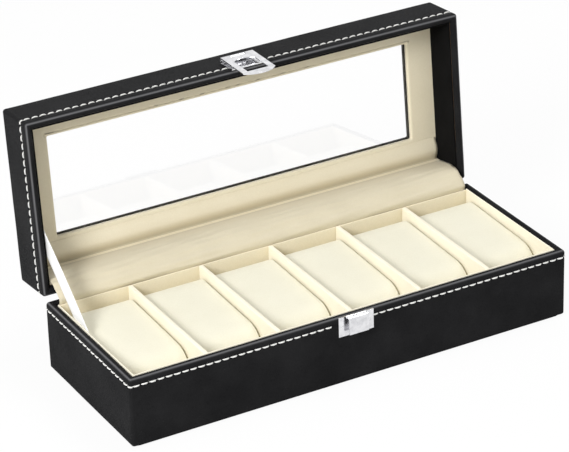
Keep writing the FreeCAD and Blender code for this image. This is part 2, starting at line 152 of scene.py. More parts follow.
def arcPath(centre, radius, fromDegrees, toDegrees, count):
    # count points on a circle between two angles
    angle = np.radians(np.linspace(fromDegrees, toDegrees, count))
    return np.stack([centre[0] + radius * np.cos(angle), centre[1] + radius * np.sin(angle)], axis=-1)


def smoothPath(knots, count):
    # cubic through the knots, with slopes from their neighbours, at even steps of length
    knots = np.array(knots, float)
    stops = np.concatenate([[0], np.cumsum(np.linalg.norm(np.diff(knots, axis=0), axis=1))])
    slopes = np.gradient(knots, stops, axis=0)
    at = np.linspace(0, stops[-1], count)
    k = np.clip(np.searchsorted(stops, at, side="right") - 1, 0, len(stops) - 2)
    span = (stops[k + 1] - stops[k])[:, None]
    t = ((at - stops[k])[:, None]) / span
    return ((2 * t ** 3 - 3 * t ** 2 + 1) * knots[k] + (t ** 3 - 2 * t ** 2 + t) * span * slopes[k]
            + (3 * t ** 2 - 2 * t ** 3) * knots[k + 1] + (t ** 3 - t ** 2) * span * slopes[k + 1])


def waves(x, y, length, seed, count=7):
    # sum of slanted sine waves of about one length, between -1 and 1
    draw = np.random.default_rng(seed)
    turn = draw.uniform(0, math.pi, count)
    size = draw.uniform(0.7, 1.5, count) * 2 * math.pi / length
    start = draw.uniform(0, 2 * math.pi, count)
    x = np.asarray(x, float)[..., None]
    y = np.asarray(y, float)[..., None]
    return np.sin(size * (x * np.cos(turn) + y * np.sin(turn)) + start).mean(axis=-1)


def ringAt(walk, half, radius):
    # round a rounded rectangle from its front left corner: where the walk is and which way is out
    runs = 2 * (np.array(half) - radius)
    arc = math.pi * radius / 2
    knots = np.cumsum([0, runs[0], arc, runs[1], arc, runs[0], arc, runs[1], arc])
    step = np.mod(walk, knots[-1])
    turn = np.radians(np.interp(step, knots, [-90, -90, 0, 0, 90, 90, 180, 180, 270]))
    shareX = np.interp(step, knots, [-1, 1, 1, 1, 1, -1, -1, -1, -1])
    shareY = np.interp(step, knots, [-1, -1, -1, 1, 1, 1, 1, -1, -1])
    return {"walk": walk, "knots": knots, "share": np.stack([shareX, shareY], axis=-1),
            "out": np.stack([np.cos(turn), np.sin(turn)], axis=-1)}


def ringColumns(half, radius, step, cornerSteps):
    # even steps on the four runs, finer ones round the corners
    knots = ringAt(np.zeros(1), half, radius)["knots"]
    stops = []
    for part in range(8):
        length = knots[part + 1] - knots[part]
        count = cornerSteps if part % 2 else max(2, round(length / step))
        stops.append(np.linspace(knots[part], knots[part + 1], count, endpoint=False))
    return ringAt(np.concatenate(stops), half, radius)


def ringSurface(ring, rows, push=0.0):
    # each row is a rounded rectangle: its corner centres, plus radius and push along the way out
    reach = (rows["half"] - rows["radius"][:, None])[:, None]
    out = rows["radius"][:, None] + rows["normal"][:, :1] * push
    flat = rows["centre"][:, None] + ring["share"][None] * reach + ring["out"][None] * out[..., None]
    z = np.broadcast_to(rows["z"][:, None] + rows["normal"][:, 1:] * push, flat.shape[:2])
    return np.dstack([flat, z])


def ringRows(half, centre, radius, z):
    # rows for ringSurface, with the outward direction of the closed profile they make
    inset = -half[:, 1]
    alongIn = np.roll(inset, -1) - np.roll(inset, 1)
    alongUp = np.roll(z, -1) - np.roll(z, 1)
    size = np.maximum(np.hypot(alongIn, alongUp), tiny)
    normal = np.stack([alongUp / size, alongIn / size], axis=-1)
    return {"half": half, "centre": centre, "radius": radius, "z": z, "normal": normal}


# Shader groups and materials

def linear(red, green, blue):
    # a colour as seen on a screen, 0 to 255, as the shader wants it
    share = np.array([red, green, blue]) / 255
    share = np.where(share <= 0.04045, share / 12.92, ((share + 0.055) / 1.055) ** 2.4)
    return tuple(share.tolist()) + (1.0,)


def addNode(tree, kind, values=None, **settings):
    item = tree.nodes.new(kind)
    for key, value in settings.items():
        setattr(item, key, value)
    for key, value in (values or {}).items():
        item.inputs[key].default_value = value
    return item


def feed(tree, socket, value):
    # a link where the value comes from another node, and otherwise the socket's own number or colour
    if isinstance(value, bpy.types.NodeSocket):
        tree.links.new(value, socket)
    else:
        socket.default_value = value


def mixColours(tree, factor, first, second):
    mix = addNode(tree, "ShaderNodeMix", data_type="RGBA")
    for index, value in ((0, factor), (6, first), (7, second)):
        feed(tree, mix.inputs[index], value)
    return mix.outputs[2]


def spread(tree, value, fromLow, fromHigh, toLow, toHigh):
    node = addNode(tree, "ShaderNodeMapRange", {1: fromLow, 2: fromHigh, 3: toLow, 4: toHigh})
    tree.links.new(value, node.inputs[0])
    return node.outputs[0]


def combine(tree, operation, *values):
    node = addNode(tree, "ShaderNodeMath", operation=operation)
    for index, value in enumerate(values):
        feed(tree, node.inputs[index], value)
    return node.outputs[0]


def newGroup(name, inputs, outputs):
    tree = bpy.data.node_groups.new(name, "ShaderNodeTree")
    for label, kind, value in inputs:
        socket = tree.interface.new_socket(label, in_out="INPUT", socket_type=kind)
        if value is not None:
            socket.default_value = value
    for label in outputs:
        tree.interface.new_socket(label, in_out="OUTPUT", socket_type="NodeSocketFloat")
    return tree, tree.nodes.new("NodeGroupInput").outputs, tree.nodes.new("NodeGroupOutput").inputs


def noiseIn(tree, vector, scale, detail, rough=0.55):
    node = addNode(tree, "ShaderNodeTexNoise", {"Detail": detail, "Roughness": rough})
    tree.links.new(vector, node.inputs["Vector"])
    feed(tree, node.inputs["Scale"], scale)
    return node.outputs["Fac"]


def grainGroup():
    # pebbled leather: cells with creases between them, and a slow change of tone
    tree, given, result = newGroup(
        "leatherGrain", [("Vector", "NodeSocketVector", None), ("Cells", "NodeSocketFloat", 1100.0)],
        ["Height", "Crease", "Tone"])
    bend = noiseIn(tree, given["Vector"], 420.0, 2.0)
    shift = addNode(tree, "ShaderNodeVectorMath", operation="MULTIPLY_ADD")
    tree.links.new(bend, shift.inputs[0])
    shift.inputs[1].default_value = (0.0006, 0.0006, 0.0006)
    tree.links.new(given["Vector"], shift.inputs[2])
    cells = addNode(tree, "ShaderNodeTexVoronoi", feature="DISTANCE_TO_EDGE")
    tree.links.new(shift.outputs[0], cells.inputs["Vector"])
    tree.links.new(given["Cells"], cells.inputs["Scale"])
    dome = spread(tree, cells.outputs["Distance"], 0.0, 0.32, 0.0, 1.0)
    fine = noiseIn(tree, given["Vector"], 4200.0, 3.0)
    tree.links.new(combine(tree, "MULTIPLY_ADD", fine, 0.35, dome), result["Height"])
    tree.links.new(spread(tree, cells.outputs["Distance"], 0.0, 0.1, 1.0, 0.0), result["Crease"])
    tree.links.new(noiseIn(tree, given["Vector"], 35.0, 4.0), result["Tone"])
    return tree


def pileGroup():
    # short velvet pile: fine speckle, and patches that the hand has brushed one way
    tree, given, result = newGroup(
        "velvetPile", [("Vector", "NodeSocketVector", None), ("Brush", "NodeSocketFloat", 60.0)],
        ["Height", "Tone", "Patch"])
    tree.links.new(noiseIn(tree, given["Vector"], 2600.0, 3.0, 0.7), result["Height"])
    tree.links.new(noiseIn(tree, given["Vector"], 1300.0, 4.0, 0.65), result["Tone"])
    tree.links.new(noiseIn(tree, given["Vector"], given["Brush"], 3.0), result["Patch"])
    return tree


def polishGroup():
    # hairlines and slow clouding of polished sheet metal
    tree, given, result = newGroup(
        "polishMarks", [("Vector", "NodeSocketVector", None)], ["Height", "Cloud"])
    stretch = addNode(tree, "ShaderNodeVectorMath", operation="MULTIPLY")
    tree.links.new(given["Vector"], stretch.inputs[0])
    stretch.inputs[1].default_value = (1.0, 9.0, 9.0)
    tree.links.new(noiseIn(tree, stretch.outputs[0], 700.0, 3.0), result["Height"])
    tree.links.new(noiseIn(tree, given["Vector"], 240.0, 3.0), result["Cloud"])
    return tree


grain = grainGroup()
pile = pileGroup()
polish = polishGroup()


def startMaterial(name, fixed):
    material = bpy.data.materials.new(name)
    material.use_nodes = True
    tree = material.node_tree
    shader = tree.nodes["Principled BSDF"]
    for key, value in fixed.items():
        shader.inputs[key].default_value = value
    return material, tree, shader


def coordinates(tree, kind):
    return addNode(tree, "ShaderNodeTexCoord").outputs[kind]


def useGroup(tree, group, values=None):
    node = addNode(tree, "ShaderNodeGroup", node_tree=group)
    tree.links.new(coordinates(tree, "Object"), node.inputs["Vector"])
    for key, value in (values or {}).items():
        node.inputs[key].default_value = value
    return node.outputs


def paintedLightShare(tree):
    # share of painted light: a painted highlight on the leather rim, painted shade in the hinge strip's fold
    return addNode(tree, "ShaderNodeAttribute", attribute_name="rub").outputs["Fac"]


def addBump(tree, shader, height, strength, distance):
    bump = addNode(tree, "ShaderNodeBump", {"Strength": strength, "Distance": distance})
    tree.links.new(height, bump.inputs["Height"])
    tree.links.new(bump.outputs["Normal"], shader.inputs["Normal"])


leatherLook = {
    "refraction": 1.05, "crease": linear(14, 14, 15), "creaseShare": 0.5, "creaseRoughness": 0.2,
    # the paler colour of a painted highlight along the leather rim
    "rubbed": linear(118, 118, 120), "bump": 0.0002,
}


def leatherMaterial(name, dark, light, cells, roughness, relief):
    look = leatherLook
    material, tree, shader = startMaterial(name, {"IOR": look["refraction"]})
    marks = useGroup(tree, grain, {"Cells": cells})
    tone = spread(tree, marks["Tone"], 0.35, 0.65, 0.0, 1.0)
    creaseShare = spread(tree, marks["Crease"], 0.0, 1.0, 0.0, look["creaseShare"])
    creased = mixColours(tree, creaseShare, mixColours(tree, tone, dark, light), look["crease"])
    # painted highlight: the paler colour mixed in along the rim by the painted-light share
    tree.links.new(mixColours(tree, paintedLightShare(tree), creased, look["rubbed"]), shader.inputs["Base Color"])
    rough = spread(tree, marks["Crease"], 0.0, 1.0, roughness, roughness + look["creaseRoughness"])
    tree.links.new(rough, shader.inputs["Roughness"])
    addBump(tree, shader, marks["Height"], relief, look["bump"])
    return material


velvetLook = {
    # the deep colour times the share below gives the darker colour of painted shade
    "roughness": 0.95, "specular": 0.15, "sheenRoughness": 0.4, "crushed": 0.66,
    "relief": 0.35, "bump": 0.0003,
}


def velvetMaterial(name, deep, pale, brush, sheen):
    look = velvetLook
    material, tree, shader = startMaterial(name, {
        "Roughness": look["roughness"], "Specular IOR Level": look["specular"],
        "Sheen Weight": sheen, "Sheen Roughness": look["sheenRoughness"]})
    marks = useGroup(tree, pile, {"Brush": brush})
    speckle = spread(tree, marks["Tone"], 0.3, 0.7, 0.0, 0.4)
    both = combine(tree, "MULTIPLY_ADD", marks["Patch"], 0.6, speckle)
    # painted shade: the darker colour, mixed in by the painted-light share, which only the hinge strip carries
    crushed = (*(look["crushed"] * channel for channel in deep[:3]), 1.0)
    colour = mixColours(tree, paintedLightShare(tree), mixColours(tree, both, deep, pale), crushed)
    tree.links.new(colour, shader.inputs["Base Color"])
    addBump(tree, shader, marks["Height"], look["relief"], look["bump"])
    return material


def metalMaterial(name, colour, dull, smooth, rough):
    material, tree, shader = startMaterial(name, {"Metallic": 1.0})
    marks = useGroup(tree, polish)
    cloud = spread(tree, marks["Cloud"], 0.35, 0.7, 0.0, 1.0)
    tree.links.new(mixColours(tree, cloud, colour, dull), shader.inputs["Base Color"])
    tree.links.new(spread(tree, marks["Cloud"], 0.3, 0.7, smooth, rough), shader.inputs["Roughness"])
    addBump(tree, shader, marks["Height"], 0.004, 0.0001)
    return material


def boardMaterial(name, dark, light):
    material, tree, shader = startMaterial(name, {"Roughness": 0.85})
    fibre = noiseIn(tree, coordinates(tree, "Object"), 900.0, 5.0, 0.7)
    tone = spread(tree, fibre, 0.3, 0.7, 0.0, 1.0)
    tree.links.new(mixColours(tree, tone, dark, light), shader.inputs["Base Color"])
    addBump(tree, shader, fibre, 0.3, 0.0002)
    return material


def bandsIn(tree, uv, scale, distortion, direction):
    bands = addNode(tree, "ShaderNodeTexWave", {"Scale": scale, "Distortion": distortion})
    bands.bands_direction = direction
    tree.links.new(uv, bands.inputs["Vector"])
    return bands.outputs["Fac"]


def threadMaterial(name, deep, pale, turns):
    # strands lie slanted across the UV map: along it, and round it
    material, tree, shader = startMaterial(name, {"Roughness": 0.7, "Sheen Weight": 0.2})
    twist = bandsIn(tree, coordinates(tree, "UV"), turns, 0.4, "DIAGONAL")
    tree.links.new(mixColours(tree, twist, deep, pale), shader.inputs["Base Color"])
    addBump(tree, shader, twist, 0.5, 0.0002)
    return material


def ribbonMaterial(name, deep, pale, ribs):
    # cross ribs of the weave along the UV map, and a little slub
    material, tree, shader = startMaterial(name, {"Roughness": 0.55, "Sheen Weight": 0.3})
    uv = coordinates(tree, "UV")
    weave = bandsIn(tree, uv, ribs, 0.2, "Y")
    shade = combine(tree, "MULTIPLY", weave, noiseIn(tree, uv, 300.0, 3.0))
    tree.links.new(mixColours(tree, shade, pale, deep), shader.inputs["Base Color"])
    addBump(tree, shader, weave, 0.25, 0.0002)
    return material


def glassMaterial(name):
    material, tree, shader = startMaterial(name, {
        "Base Color": (1, 1, 1, 1), "Transmission Weight": 1.0, "IOR": 1.46, "Roughness": 0.0})
    addBump(tree, shader, noiseIn(tree, coordinates(tree, "Object"), 14.0, 1.0), 0.02, 0.0005)
    return material


blackLeather = leatherMaterial("blackLeather", linear(32, 32, 33), linear(40, 40, 41), 1050.0, 0.3, 0.5)
blackFacing = leatherMaterial("blackFacing", linear(19, 19, 19), linear(25, 25, 25), 1700.0, 0.6, 0.25)
blackFelt = velvetMaterial("blackFelt", linear(18, 18, 18), linear(34, 34, 34), 90.0, 0.1)
beigeVelvet = velvetMaterial("beigeVelvet", linear(230, 219, 190), linear(244, 235, 211), 45.0, 0.2)
# a lighter copy of the beige velvet, painted light for the lit dividers and tray liners
paintedLitVelvet = velvetMaterial("paintedLitVelvet", linear(246, 238, 214), linear(254, 249, 232), 45.0, 0.25)
creamVelvet = velvetMaterial("creamVelvet", linear(228, 224, 203), linear(241, 238, 221), 38.0, 0.2)
whiteRibbon = ribbonMaterial("whiteRibbon", linear(246, 245, 240), linear(255, 255, 253), 2400.0)
whiteThread = threadMaterial("whiteThread", linear(236, 235, 230), linear(253, 253, 250), 3.0)
clearGlass = glassMaterial("clearGlass")
nickel = metalMaterial("nickel", linear(238, 238, 240), linear(212, 212, 215), 0.1, 0.24)
platedSteel = metalMaterial("platedSteel", linear(205, 205, 208), linear(168, 168, 172), 0.22, 0.42)
fibreBoard = boardMaterial("fibreBoard", linear(122, 92, 60), linear(160, 126, 88))
foamPadding = boardMaterial("foamPadding", linear(205, 200, 186), linear(228, 224, 212))
slotMaterials = {
    "black_leather": blackLeather, "black_facing": blackFacing, "black_felt": blackFelt,
    "beige_velvet": beigeVelvet, "cream_velvet": creamVelvet, "white_ribbon": whiteRibbon,
    "clear_glass": clearGlass, "nickel": nickel, "plated_steel": platedSteel,
    "fibreboard": fibreBoard, "foam_padding": foamPadding}


def dressFrame():
    for part in frame["record"]["subparts"]:
        mesh = frame["nodes"][part["node"]].data
        mesh.materials.clear()
        mesh.materials.append(slotMaterials[part["material_slot"]])


dressFrame()
print("materials for", len(slotMaterials), "slots")

# Leather covers

leather = {
    "corner": 2.0 * mm, "tightCorner": 0.15 * mm, "step": 1.06 * mm, "cornerSteps": 6,
    "bottomEdge": 1.2 * mm, "topEdge": 2.0 * mm, "windowEdge": 0.7 * mm, "windowCorner": 0.8 * mm,
    "channel": 0.32 * mm, "channelWidth": 0.9 * mm, "pucker": 0.2 * mm, "softness": 0.1 * mm,
    "sagIn": 0.6, "waveLength": 46 * mm, "seed": 4, "lip": 1.1 * mm, "lipDrop": 0.15 * mm,
    # where and how strongly the paler tone of the painted highlight lies along the rim
    "rubAt": 1.1 * mm, "rubWidth": 0.45 * mm, "rub": 0.75, "wallStep": 1.5 * mm,
    "seamSpan": 2.5, "seamClear": 2.6, "seamRows": 15, "rimRows": 25, "backRows": 13, "topRows": 15,
}
stitch = {
    "pitch": 5.3 * mm, "length": 4.6 * mm, "radius": 0.5 * mm, "dive": 0.75 * mm, "rise": 0.3 * mm,
    "baseDrop": 4.9 * mm, "lidRise": 6.9 * mm, "jitter": 0.07 * mm, "sides": 6, "rings": 6, "seed": 11,
    "taper": 0.45, "clearAside": 1.5 * mm, "clearDeep": 6 * mm,
}
baseStitchZ = coverHigh[2] - stitch["baseDrop"]
lidStitchZ = lidLow[2] + stitch["lidRise"]
coverRing = ringColumns(halfBox, leather["corner"], leather["step"], leather["cornerSteps"])


def seamPush(walk, z, seamZ, showing):
    # a channel along the seam, deeper at the needle holes, on walls that swell and dip a little
    near = np.exp(-((z[:, None] - seamZ) / leather["channelWidth"]) ** 2)
    hole = (0.5 + 0.5 * np.cos(2 * math.pi * walk / stitch["pitch"])[None]) ** 3
    sag = (waves(walk[None], z[:, None], leather["waveLength"], leather["seed"]) - leather["sagIn"])
    sag = sag * leather["softness"]
    return (sag - near * (leather["channel"] + leather["pucker"] * hole)) * showing[:, None]


def fineWall(low, high, seamZ):
    # heights up a wall, close together at the seam
    width = leather["seamSpan"] * leather["channelWidth"]
    belowCount = max(3, round((seamZ - width - low) / leather["wallStep"]))
    aboveCount = max(2, round((high - seamZ - width) / leather["wallStep"]))
    below = np.linspace(low, seamZ - width, belowCount, endpoint=False)
    across = np.linspace(seamZ - width, seamZ + width, leather["seamRows"])
    above = np.linspace(seamZ + width, high, aboveCount + 1)[1:]
    return np.concatenate([below, across, above[above < high]])


def paintedRimHighlight(inset, depth, showing):
    # share of the painted highlight along the rim, a paler tone strongest a little in from the outer edge
    near = np.exp(-((inset - leather["rubAt"]) / leather["rubWidth"]) ** 2)
    return (leather["rub"] * near * (depth < rimRadius) * showing)[:, None]


def addLip(rows, push, row):
    # one row reaches in over the thicker board at the back and nowhere else
    rows["normal"][row] = (-1.0, 0.0)
    push[row] = leather["lip"] * np.clip(coverRing["out"][:, 1], 0, 1)


def insetRows(inset):
    # half sizes, centres and corner radii of the box's outline drawn in by each inset
    radius = np.maximum(leather["corner"] - inset, leather["tightCorner"])
    return halfBox - inset[:, None], np.zeros((len(inset), 2)), radius


def makeBaseLeather():
    # profile: in under the wall, up the outside, over the half-round rim, and back inside the skin
    low = coverLow[2]
    shoulder = padLow[2]
    edge = leather["bottomEdge"]
    seamTop = shoulder - leather["seamClear"] * leather["channelWidth"]
    heights = fineWall(low + edge, shoulder, min(baseStitchZ, seamTop))
    heights = np.unique(np.concatenate([heights, np.linspace(heights[-1], shoulder, 6)[:-1]]))
    outside = np.vstack([
        np.linspace((turnIn, low), (edge, low), 3)[:-1],
        arcPath((edge, low + edge), edge, 270, 180, 5),
        np.stack([np.zeros(len(heights) - 1), heights[1:]], axis=-1),
        arcPath((rimRadius, shoulder), rimRadius, 180, 0, leather["rimRows"])])
    inside = np.vstack([
        [(2 * rimRadius, shoulder + leather["lipDrop"])],
        arcPath((rimRadius, shoulder), rimRadius - skin, 0, 180, leather["backRows"]),
        np.linspace((skin, shoulder), (skin, low + skin), 6)[1:],
        np.linspace((skin, low + skin), (turnIn, low + skin), 3)[1:]])
    path = np.vstack([outside, inside])
    showing = (np.arange(len(path)) < len(outside)).astype(float)
    half, centre, radius = insetRows(path[:, 0])
    rows = ringRows(half, centre, radius, path[:, 1])
    push = seamPush(coverRing["walk"], path[:, 1], baseStitchZ, showing)
    addLip(rows, push, len(outside))
    points = ringSurface(coverRing, rows, push)
    # painted highlight along the base's rim
    rub = paintedRimHighlight(path[:, 0], coverHigh[2] - path[:, 1], showing)
    cover = makePiece("baseLeather", points, blackLeather, wrapRows=True, wrapColumns=True, rub=rub)
    place(cover, "base", "black_leather", "base_cover")


def makeLidLeather():
    # profile, lid closed: round the rim, up the wall, over the top to the window and down to the glass
    top = lidHigh[2]
    shoulder = lidShoulder
    edge = leather["topEdge"]
    heights = fineWall(shoulder, top - edge, lidStitchZ)
    wallPath = np.vstack([
        [(2 * rimRadius, shoulder - leather["lipDrop"])],
        arcPath((rimRadius, shoulder), rimRadius, 0, -180, leather["rimRows"]),
        np.stack([np.zeros(len(heights) - 1), heights[1:]], axis=-1),
        arcPath((edge, top - edge), edge, 180, 90, 7)])
    half, centre, radius = insetRows(wallPath[:, 0])
    bend = leather["windowEdge"]
    share = np.linspace(0, 1, leather["topRows"])[1:, None]
    topHalf = half[-1] + share * (windowHalf + bend - half[-1])
    topCentre = share * windowCentre
    topRadius = radius[-1] + share[:, 0] * (leather["windowCorner"] + bend - radius[-1])
    turn = np.radians(np.linspace(0, 90, 5))[1:]
    bendHalf = windowHalf + (bend * (1 - np.sin(turn)))[:, None]
    bendZ = top - bend * (1 - np.cos(turn))
    downZ = np.array([glassTop, glassTop, top - skin])
    downHalf = np.stack([windowHalf, windowHalf + skin, windowHalf + skin])
    backInset = np.array([skin + edge, skin, skin])
    backZ = np.array([top - skin, top - skin, shoulder])
    backHalf, backCentre, backRadius = insetRows(backInset)
    rimBack = arcPath((rimRadius, shoulder), rimRadius - skin, -180, 0, leather["backRows"])[1:]
    rimHalf, rimCentre, rimBend = insetRows(rimBack[:, 0])
    atWindow = np.broadcast_to(windowCentre, (len(turn) + 3, 2))
    windowRadius = np.concatenate([
        leather["windowCorner"] + bend * (1 - np.sin(turn)),
        leather["windowCorner"] + np.array([0, skin, skin])])
    allHalf = np.vstack([half, topHalf, bendHalf, downHalf, backHalf, rimHalf])
    allCentre = np.vstack([centre, topCentre, atWindow, backCentre, rimCentre])
    allRadius = np.concatenate([radius, topRadius, windowRadius, backRadius, rimBend])
    topZ = np.full(len(topHalf), top)
    allZ = np.concatenate([wallPath[:, 1], topZ, bendZ, downZ, backZ, rimBack[:, 1]])
    shown = len(half) + len(topHalf) - 1
    showing = (np.arange(len(allZ)) < shown).astype(float)
    rows = ringRows(allHalf, allCentre, allRadius, allZ)
    push = seamPush(coverRing["walk"], allZ, lidStitchZ, showing)
    addLip(rows, push, 0)
    points = opened(ringSurface(coverRing, rows, push))
    # painted highlight along the lid's rim
    rub = paintedRimHighlight(halfBox[1] - allHalf[:, 1], allZ - lidLow[2], showing)
    cover = makePiece("lidLeather", points, blackLeather, wrapRows=True, wrapColumns=True, rub=rub)
    place(cover, "lid", "black_leather", "lid_cover")


makeBaseLeather()
makeLidLeather()
print("leather covers")

# Seams

def makeStitches(seamZ, gaps):
    # each stitch: a round thread along the ring, arched, with its ends down in the needle holes
    count = round(coverRing["knots"][-1] / stitch["pitch"])
    middle = (np.arange(count) + 0.5) * stitch["pitch"]
    spot = ringAt(middle, halfBox, leather["corner"])
    where = spot["share"] * halfBox
    keep = np.ones(count, bool)
    for low, high in gaps:
        inside = (where > np.array(low)) & (where < np.array(high))
        keep &= ~inside.all(axis=1)
    middle = middle[keep]
    draw = np.random.default_rng(stitch["seed"])
    drift = draw.uniform(-1, 1, (2, len(middle))) * stitch["jitter"]
    t = np.linspace(-1, 1, stitch["rings"])
    turn = np.linspace(0, 2 * math.pi, stitch["sides"], endpoint=False)
    walk = middle[:, None] + t * stitch["length"] / 2
    ring = ringAt(walk, halfBox, leather["corner"])
    base = ring["share"] * (halfBox - leather["corner"]) + ring["out"] * leather["corner"]
    thick = stitch["radius"] * (1 - stitch["taper"] * t ** 4)
    lift = stitch["rise"] - stitch["dive"] * t ** 4 - leather["channel"]
    outward = lift[:, None] + thick[:, None] * np.cos(turn)
    upward = thick[:, None] * np.sin(turn)
    flat = base[:, :, None] + ring["out"][:, :, None] * (outward[None] + drift[0][:, None, None])[..., None]
    z = np.broadcast_to(seamZ + upward + drift[1][:, None, None], flat.shape[:3])
    points = np.concatenate([flat, z[..., None]], axis=-1)
    uv = np.stack(np.broadcast_arrays(t[:, None] / 2 + 0.5, turn[None] / (2 * math.pi)), axis=-1)
    return points, uv


def clearOf(box):
    # room round a fitting where no stitch is drawn
    margin = np.array([stitch["clearAside"], stitch["clearDeep"]])
    return box[0][:2] - margin, box[1][:2] + margin


def makeSeams():
    leafGaps = [clearOf(boxOf(nodePoints("hinge_base_leaf_" + side))) for side in ("left", "right")]
    catchGap = clearOf(boxOf(nodePoints("catch_plate")))
    latchGap = clearOf(boxOf(closedPoints("latch_plate")))
    points, uv = makeStitches(baseStitchZ, leafGaps + [catchGap])
    seam = makePiece("baseSeam", points, whiteThread, wrapColumns=True, caps=True, uv=uv)
    place(seam, "base", "white_ribbon")
    points, uv = makeStitches(lidStitchZ, leafGaps + [latchGap])
    seam = makePiece("lidSeam", opened(points), whiteThread, wrapColumns=True, caps=True, uv=uv)
    place(seam, "lid", "white_ribbon")


makeSeams()
print("seams")

# Velvet-wrapped boards

wrapped = {
    "edge": 0.45 * mm, "dividerEdge": 0.6 * mm, "tightest": 0.05 * mm, "step": 3 * mm, "edgeSteps": 5,
    "fuzz": 0.05 * mm, "waveLength": 24 * mm, "firstSeed": 20,
}
lining = {
    "edge": 0.9 * mm, "outerCorner": 0.3 * mm, "windowCorner": 1.0 * mm, "step": 4 * mm, "cornerSteps": 4,
    "edgeRows": 5, "faceRows": 21,
}


def wrappedBoard(name, low, high, along, edge, seed, material):
    # a rounded rectangle carried along the board, drawn in round the two ends
    across = [axis for axis in range(3) if axis != along]
    half = (high - low)[across] / 2
    ring = ringColumns(half, edge, wrapped["step"], wrapped["edgeSteps"])
    turn = np.radians(np.linspace(0, 90, wrapped["edgeSteps"]))
    length = (high - low)[along]
    count = max(4, round(length / wrapped["step"]))
    end = edge * (1 - np.cos(turn))
    endInset = edge * (1 - np.sin(turn))
    inset = np.concatenate([endInset, np.zeros(count), endInset[::-1]])
    stops = np.concatenate([end, np.linspace(edge, length - edge, count + 2)[1:-1], length - end[::-1]])
    rows = {
        "half": half[None] - inset[:, None], "centre": np.zeros((len(inset), 2)),
        "radius": np.maximum(edge - inset, wrapped["tightest"]), "z": stops,
        "normal": np.broadcast_to([1.0, 0.0], (len(inset), 2))}
    push = waves(ring["walk"][None], stops[:, None], wrapped["waveLength"], seed) * wrapped["fuzz"]
    local = ringSurface(ring, rows, push - wrapped["fuzz"])
    points = np.empty_like(local)
    middle = (low + high) / 2
    points[..., across[0]] = local[..., 0] + middle[across[0]]
    points[..., across[1]] = local[..., 1] + middle[across[1]]
    points[..., along] = local[..., 2] + low[along]
    return makePiece(name, points, material, wrapColumns=True, caps=True)


def makeTray():
    for number in range(1, 6):
        low, high = boxOf(nodePoints("divider_%d" % number))
        board = wrappedBoard("divider%d" % number, low, high, 1, wrapped["dividerEdge"], number, paintedLitVelvet)
        place(board, "base", "beige_velvet", "divider_%d" % number)
    longAxis = {"front": 0, "back": 0, "left": 1, "right": 1, "floor": 0}
    for seed, (side, along) in enumerate(longAxis.items(), wrapped["firstSeed"]):
        low, high = boxOf(nodePoints("tray_%s_liner" % side))
        # the back liner keeps the beige velvet; the others take its lighter copy, painted light
        cloth = beigeVelvet if side == "back" else paintedLitVelvet
        board = wrappedBoard("%sLiner" % side, low, high, along, wrapped["edge"], seed, cloth)
        place(board, "base", "beige_velvet", "tray_%s_liner" % side)


def makeLidLining():
    # profile, lid closed: up the outer edge, over the hidden side, down the window edge, out under the face
    edge = lining["edge"]
    outer = (liningHigh - liningLow)[:2] / 2
    outerCentre = (liningHigh + liningLow)[:2] / 2
    low, high = liningLow[2], liningHigh[2]
    turn = np.radians(np.linspace(0, 90, lining["edgeRows"] + 1))[:-1]
    face = np.linspace(0, 1, lining["faceRows"] + 1)[1:]
    share = np.concatenate([[0, 0, 0.5, 1], np.ones(len(turn)), 1 - face])
    bend = np.concatenate([np.zeros(4), edge * (1 - np.cos(turn)), [edge], np.zeros(len(face) - 1)])
    edgeZ = low + edge * (1 - np.sin(turn))
    z = np.concatenate([[low + edge, high, high, high], edgeZ, np.full(len(face), low)])
    half = outer + share[:, None] * (windowHalf - outer) + bend[:, None]
    centre = outerCentre + share[:, None] * (windowCentre - outerCentre)
    radius = lining["outerCorner"] + share * (lining["windowCorner"] - lining["outerCorner"])
    ring = ringColumns(outer, lining["outerCorner"], lining["step"], lining["cornerSteps"])
    points = opened(ringSurface(ring, ringRows(half, centre, radius, z)))
    board = makePiece("lidLining", points, beigeVelvet, wrapRows=True, wrapColumns=True)
    place(board, "lid", "beige_velvet", "lid_lining_board")


makeTray()
makeLidLining()
print("tray and lid lining")

# Watch pillows

pillow = {
    "endInset": 0.5 * mm, "frontRadius": 15 * mm, "backRadius": 9 * mm, "footRadius": 6 * mm,
    "fall": 2.7 * mm, "endFrom": 0.08, "endTo": 0.96, "holdReach": 1.1, "footHold": 0.5 * mm, "mass": 0.02,
    "seamEdge": 0.3 * mm, "seamHold": 0.9 * mm, "step": 2.4 * mm, "endRings": 7, "startSmaller": 0.8 * mm,
    "pressure": 12.0, "frames": 20, "cap": 1.5 * mm,
}


def roundedOutline(corners, radii, step):
    # straight sides joined by arcs, walked once round at about even steps
    corners = np.array(corners, float)
    parts = []
    befores = np.roll(corners, 1, axis=0)
    afters = np.roll(corners, -1, axis=0)
    for here, before, after, radius in zip(corners, befores, afters, radii):
        back = (before - here) / np.linalg.norm(before - here)
        ahead = (after - here) / np.linalg.norm(after - here)
        angle = math.acos(np.clip(back @ ahead, -1, 1))
        reach = radius / math.tan(angle / 2)
        middle = (back + ahead) / np.linalg.norm(back + ahead)
        centre = here + middle * radius / math.sin(angle / 2)
        start = here + back * reach - centre
        end = here + ahead * reach - centre
        sweep = math.pi - angle
        share = np.linspace(0, 1, max(3, round(radius * sweep / step)))[:, None]
        arc = (np.sin((1 - share) * sweep) * start + np.sin(share * sweep) * end) / math.sin(sweep)
        parts.append(centre + arc)
    line = np.vstack(parts + [parts[0][:1]])
    stops = np.concatenate([[0], np.cumsum(np.linalg.norm(np.diff(line, axis=0), axis=1))])
    at = np.linspace(0, stops[-1], round(stops[-1] / step), endpoint=False)
    return np.stack([np.interp(at, stops, line[:, 0]), np.interp(at, stops, line[:, 1])], axis=-1)


